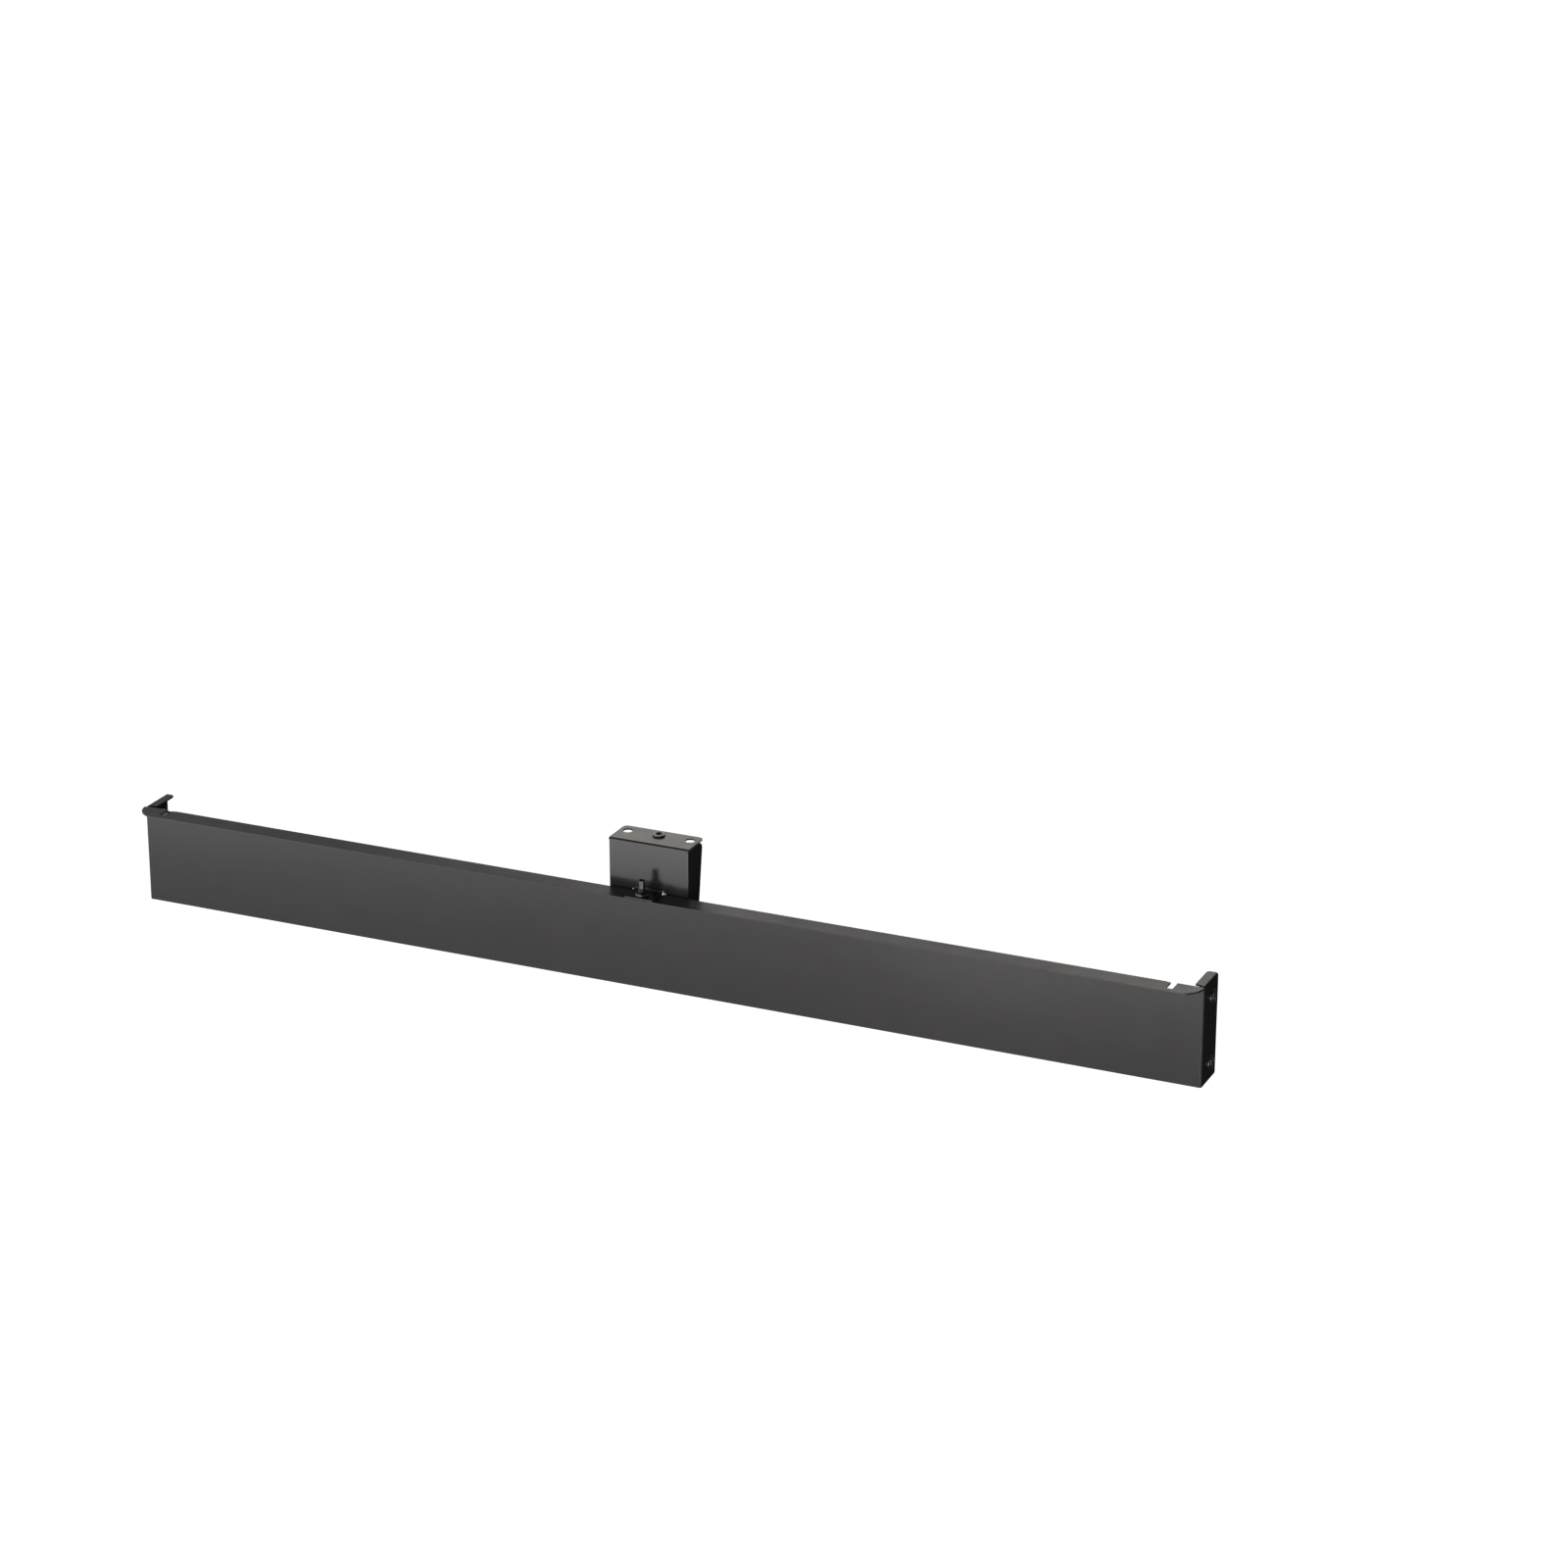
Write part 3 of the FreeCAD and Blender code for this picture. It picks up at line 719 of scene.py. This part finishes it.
def led_board():
    """The flexible board, with solder pads and a printed cut line at the end of every unit."""
    low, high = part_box("led_board")
    outline = rounded_outline(
        [(low.y, low.z), (high.y, low.z), (high.y, high.z), (low.y, high.z)], 0.05 * MM, 2)
    work = bmesh.new()
    extruded(work, outline, low.x, high.x)
    mesh = finished_mesh(work, "strip_board")
    mesh.set_sharp_from_angle(angle=math.radians(50))
    add_piece("strip_board", mesh, "batten", [MASK], ["led_board"])

    pads = bmesh.new()
    marks = bmesh.new()
    face = high.y
    middle_z = (low.z + high.z) / 2
    for i in range(UNITS + 1):
        x = strip_x(i)
        for dx in (-1.35 * MM, 1.35 * MM):
            if low.x < x + dx < high.x:
                for dz in (-2.6 * MM, 2.6 * MM):
                    centre = Vector((x + dx, face, middle_z + dz))
                    plate(pads, centre, 1.1 * MM, 1.2 * MM, face - 0.01 * MM, face + 0.06 * MM)
        if 0 < i < UNITS:
            for k in range(5):
                centre = Vector((x, face, low.z + (1 + 2 * k) * MM))
                plate(marks, centre, 0.1 * MM, 0.55 * MM, face - 0.01 * MM, face + 0.02 * MM)
    add_piece(
        "strip_solder_pads", finished_mesh(pads, "strip_solder_pads", False),
        "batten", [TIN])
    add_piece(
        "strip_cut_marks", finished_mesh(marks, "strip_cut_marks", False),
        "batten", [MARK])


def leds():
    """The LED packages: a white cup with a phosphor pool, and three leads on each side."""
    low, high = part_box("leds")
    side = 5.0 * MM
    thick = high.y - low.y
    pitch = CUT_UNIT / LEDS_PER_UNIT
    body = square(side / 2 - 0.15 * MM, 0.35 * MM)
    top = square(side / 2 - 0.28 * MM, 0.35 * MM)
    cup_r = 2.05 * MM
    cups = bmesh.new()
    pools = bmesh.new()
    leads = bmesh.new()
    cup = [
        ring(body, 0.12 * MM),
        ring(body, thick - 0.12 * MM),
        ring(top, thick),
        ring(cup_r + 0.05 * MM, thick),
        ring(cup_r, thick - 0.06 * MM),
        ring(cup_r - 0.2 * MM, thick - 0.5 * MM),
    ]
    pool_z = thick - 0.22 * MM
    pool_r = cup_r - 0.05 * MM
    pool = [ring(pool_r, pool_z), ring(pool_r * 0.6, pool_z - 0.05 * MM)]
    for i in range(LEDS):
        x = low.x + side / 2 + pitch * i
        centre = Vector((x, low.y, (low.z + high.z) / 2))
        place = aimed(centre, Vector((0, 1, 0)))
        stack(cups, [points[::3] for points in cup], place, start=0.12 * MM, end=thick - 0.5 * MM)
        stack(pools, [points[::3] for points in pool], place, end=pool_z - 0.06 * MM)
        for sx in (-1, 1):
            for k in (-1, 0, 1):
                lead = Vector((x + sx * (side / 2 - 0.3 * MM), 0, centre.z + k * 1.6 * MM))
                plate(leads, lead, 0.3 * MM, 0.45 * MM, low.y, low.y + 0.5 * MM)
    for name, work, finish, nodes in (
            ("led_cups", cups, CUP, ["leds"]),
            ("led_phosphor", pools, PHOSPHOR, ()),
            ("led_leads", leads, TIN, ())):
        mesh = finished_mesh(work, name)
        mesh.set_sharp_from_angle(angle=math.radians(35))
        add_piece(name, mesh, "batten", [finish], nodes)


def resistors():
    """The chip resistors: a glazed body between two tinned ends."""
    low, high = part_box("resistors")
    half_x = 0.8 * MM
    half_z = (high.z - low.z) / 2
    cap = 0.5 * MM
    middle_z = (low.z + high.z) / 2
    bodies = bmesh.new()
    ends = bmesh.new()
    for i in range(UNITS):
        x = low.x + half_x + CUT_UNIT * i
        plate(bodies, Vector((x, 0, middle_z)), half_x - 0.03 * MM, half_z - cap,
              low.y, high.y - 0.03 * MM)
        for sz in (-1, 1):
            centre = Vector((x, 0, middle_z + sz * (half_z - cap / 2)))
            plate(ends, centre, half_x, cap / 2 + 0.02 * MM, low.y, high.y)
    add_piece(
        "resistor_bodies", finished_mesh(bodies, "resistor_bodies", False),
        "batten", [GLAZE], ["resistors"])
    add_piece(
        "resistor_ends", finished_mesh(ends, "resistor_ends", False),
        "batten", [TIN])


def end_caps():
    for word in ("left", "right"):
        softened(
            f"channel_cap_{word}", f"end_cap_{word}", "batten", GREY,
            0.4 * MM, 3)


def power_jack():
    """The inlet: a ribbed collar, a smooth barrel with a chamfered mouth, a pin and a spring."""
    low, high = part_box("power_jack")
    length = high.x - low.x
    shell_r = (high.z - low.z) / 2
    bore_r = 2.75 * MM
    bore_depth = 8.0 * MM
    collar = 3.0 * MM
    floor = length - bore_depth
    seat = Vector((low.x, (low.y + high.y) / 2, (low.z + high.z) / 2))
    place = aimed(seat, Vector((1, 0, 0)))
    ribs = 24

    def ribbed(angle):
        return shell_r - 0.16 * MM * (0.5 + 0.5 * math.cos(ribs * angle))

    barrel_r = shell_r - 0.25 * MM
    rings = [
        ring(ribbed, 0.0),
        ring(ribbed, collar),
        ring(barrel_r, collar + 0.2 * MM),
        ring(barrel_r, length - 0.4 * MM),
        ring(barrel_r - 0.4 * MM, length),
        ring(bore_r + 0.3 * MM, length),
        ring(bore_r, length - 0.3 * MM),
        ring(bore_r, floor),
    ]
    work = bmesh.new()
    stack(work, rings, place, start=0.0, end=floor)
    mesh = finished_mesh(work, "jack_barrel")
    mesh.set_sharp_from_angle(angle=math.radians(35))
    add_piece("jack_barrel", mesh, "batten", [BLACK], ["power_jack"])

    pin_low, pin_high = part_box("power_jack_pin")
    pin_r = (pin_high.z - pin_low.z) / 2
    reach = pin_high.x - pin_low.x
    rings = [ring(pin_r, 0.0), ring(pin_r, reach - pin_r)]
    for dr, dz in arc_points((0, 0), pin_r, 15, 75, 4):
        rings.append(ring(dr, reach - pin_r + dz))
    pin = bmesh.new()
    stack(pin, rings, aimed(Vector((pin_low.x, seat.y, seat.z)), Vector((1, 0, 0))),
          start=0.0, end=reach)
    add_piece(
        "jack_pin", finished_mesh(pin, "jack_pin"),
        "batten", [TIN], ["power_jack_pin"])

    spring = bmesh.new()
    half_width = 0.9 * MM
    thick = 0.2 * MM
    spring_length = 6.2 * MM
    bow = 0.75 * MM
    steps = 12
    rows = []
    for i in range(steps + 1):
        share = i / steps
        x = low.x + floor + 0.4 * MM + spring_length * share
        lift = bow * math.sin(math.pi * share) + 0.12 * MM
        base = seat.z - bore_r * math.cos(math.asin(half_width / bore_r)) + lift
        rows.append([
            Vector((x, seat.y - half_width, base)), Vector((x, seat.y + half_width, base)),
            Vector((x, seat.y + half_width, base + thick)),
            Vector((x, seat.y - half_width, base + thick))])
    loops = [[spring.verts.new(p) for p in row] for row in rows]
    for a, b in zip(loops, loops[1:]):
        for i in range(4):
            j = (i + 1) % 4
            spring.faces.new((a[i], a[j], b[j], b[i]))
    spring.faces.new(loops[0])
    spring.faces.new(loops[-1])
    mesh = finished_mesh(spring, "jack_spring")
    mesh.set_sharp_from_angle(angle=math.radians(40))
    add_piece("jack_spring", mesh, "batten", [TIN])


mounting_tape()
led_channel()
diffuser()
led_board()
leds()
resistors()
end_caps()
power_jack()


# ---------------------------------------------------------------- camera
def camera():
    """Above and to the right of the front, as in the photograph."""
    azimuth = math.radians(24.2)
    elevation = math.radians(20.7)
    distance = 3.38
    shift_right, shift_up = 0.096, 0.0395
    forward = Vector((
        -math.sin(azimuth) * math.cos(elevation),
        math.cos(azimuth) * math.cos(elevation),
        -math.sin(elevation)))
    right = Vector((math.cos(azimuth), math.sin(azimuth), 0))
    up = right.cross(forward)
    data = bpy.data.cameras.new("camera")
    data.sensor_width = 36.0
    data.lens = 101.1
    data.clip_end = 200.0
    eye = bpy.data.objects.new("camera", data)
    bpy.context.scene.collection.objects.link(eye)
    basis = Matrix((right, up, -forward)).transposed().to_4x4()
    eye.matrix_world = Matrix.Translation(
        -forward * distance + right * shift_right + up * shift_up) @ basis
    bpy.context.scene.camera = eye


# ---------------------------------------------------------------- studio
def floor():
    """A plain pale floor well below the hanging batten."""
    drop = 1.6
    half = 40.0
    work = bmesh.new()
    corners = [work.verts.new((sx * half, sy * half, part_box("fascia")[0].z - drop))
               for sx, sy in ((-1, -1), (1, -1), (1, 1), (-1, 1))]
    work.faces.new(corners)
    mesh = finished_mesh(work, "floor", False)
    f = Finish("pale_floor", (0.9, 0.9, 0.9), 0.9, Emission_Strength=0.9)
    f.set("Emission Color", (1.0, 1.0, 1.0, 1.0))
    f.colours(f.noise(2.0), (0.92, 0.92, 0.92), (0.9, 0.9, 0.9))
    mesh.materials.append(f.material)
    plane = bpy.data.objects.new("floor", mesh)
    bpy.context.scene.collection.objects.link(plane)
    plane.visible_glossy = False
    plane.visible_diffuse = False


def softbox(name, centre, target, width, height, radiance, colour):
    """A rectangular soft light that the camera doesn't see."""
    data = bpy.data.lights.new(name, "AREA")
    data.shape = "RECTANGLE"
    data.size = width
    data.size_y = height
    data.energy = radiance * math.pi * width * height
    data.color = colour
    lamp = bpy.data.objects.new(name, data)
    bpy.context.scene.collection.objects.link(lamp)
    lamp.location = centre
    lamp.rotation_euler = (Vector(target) - Vector(centre)).to_track_quat("-Z", "Y").to_euler()
    lamp.visible_camera = False


def surroundings():
    """White to the camera; for the object a soft grey on the left that is nearly black on the right."""
    gradient = (-0.8, 0.0, -0.08)
    least = 0.016
    world = bpy.data.worlds.new("studio")
    bpy.context.scene.world = world
    world.use_nodes = True
    tree = world.node_tree
    tree.nodes.clear()
    place = tree.nodes.new("ShaderNodeTexCoord")
    facing = tree.nodes.new("ShaderNodeVectorMath")
    facing.operation = "DOT_PRODUCT"
    facing.inputs[1].default_value = gradient
    strength = tree.nodes.new("ShaderNodeMath")
    strength.operation = "MAXIMUM"
    strength.inputs[1].default_value = least
    soft = tree.nodes.new("ShaderNodeBackground")
    white = tree.nodes.new("ShaderNodeBackground")
    white.inputs["Strength"].default_value = 1.2
    path = tree.nodes.new("ShaderNodeLightPath")
    mix = tree.nodes.new("ShaderNodeMixShader")
    out = tree.nodes.new("ShaderNodeOutputWorld")
    soft.inputs["Color"].default_value = (1.0, 1.0, 1.0, 1.0)
    tree.links.new(place.outputs["Generated"], facing.inputs[0])
    tree.links.new(facing.outputs["Value"], strength.inputs[0])
    tree.links.new(strength.outputs["Value"], soft.inputs["Strength"])
    tree.links.new(path.outputs["Is Camera Ray"], mix.inputs["Fac"])
    tree.links.new(soft.outputs["Background"], mix.inputs[1])
    tree.links.new(white.outputs["Background"], mix.inputs[2])
    tree.links.new(mix.outputs["Shader"], out.inputs["Surface"])
    bpy.context.scene.view_settings.view_transform = "Standard"


COOL = (1.0, 0.985, 1.0)
WARM = (1.0, 0.95, 0.89)
ORIGIN = (0.0, 0.0, 0.0)
FRONT = 1.8                  # radiance of the lamps in front of the long face
BACK = 1.0                   # radiance of the lamps above and behind the ledge
SIDE = 2.0                   # radiance of the lamps round the right end and behind the batten


def front_lamps():
    """What the long face mirrors: a strong band at its own height, and weaker ones round it."""
    face = (-0.10, 0.0, -0.08)
    softbox("front_upper", (-0.12, -0.30, -0.02), (-0.10, 0.0, -0.06), 1.4, 0.20, FRONT / 2, COOL)
    softbox("front_middle", (-0.14, -0.32, -0.08), face, 1.4, 0.18, FRONT, COOL)
    softbox("front_lower", (-0.17, -0.42, -0.34), face, 1.5, 0.20, FRONT / 5, COOL)
    softbox("front_right", (0.30, -0.36, -0.10), (0.40, 0.0, -0.07), 0.4, 0.20, FRONT * 0.6, COOL)


def back_lamps():
    """What the ledge and the bracket's top mirror, as warm light from above and behind."""
    softbox("back_far", (0.30, 1.60, 0.75), ORIGIN, 1.0, 0.70, BACK, WARM)
    softbox("back_wide", (-0.05, 0.50, 0.22), ORIGIN, 0.9, 0.20, BACK * 0.3, WARM)
    softbox("back_middle", (0.15, 0.50, 0.22), (0.10, 0.0, 0.0), 0.6, 0.20, BACK / 2, WARM)
    softbox("back_bracket", (-0.12, 0.28, 0.135), ORIGIN, 0.16, 0.08, BACK * 0.8, WARM)


def side_lamps():
    """Light on the right end plate and the bracket's side, and a fill for the rear."""
    right_end = (0.45, 0.0, -0.08)
    softbox("front_side", (0.75, -0.80, -0.38), right_end, 0.3, 0.50, SIDE * 2, COOL)
    softbox("right_side", (1.55, 0.20, 0.35), right_end, 0.5, 0.40, SIDE, COOL)
    softbox("right_lower", (1.40, -0.20, -0.57), (0.0, 0.0, -0.04), 0.5, 0.30, SIDE * 0.8, COOL)
    softbox("rear_fill", (-1.2, 1.8, -0.5), (0.0, 0.0, -0.08), 1.2, 0.9, SIDE * 0.8, COOL)


camera()
floor()
surroundings()
front_lamps()
back_lamps()
side_lamps()
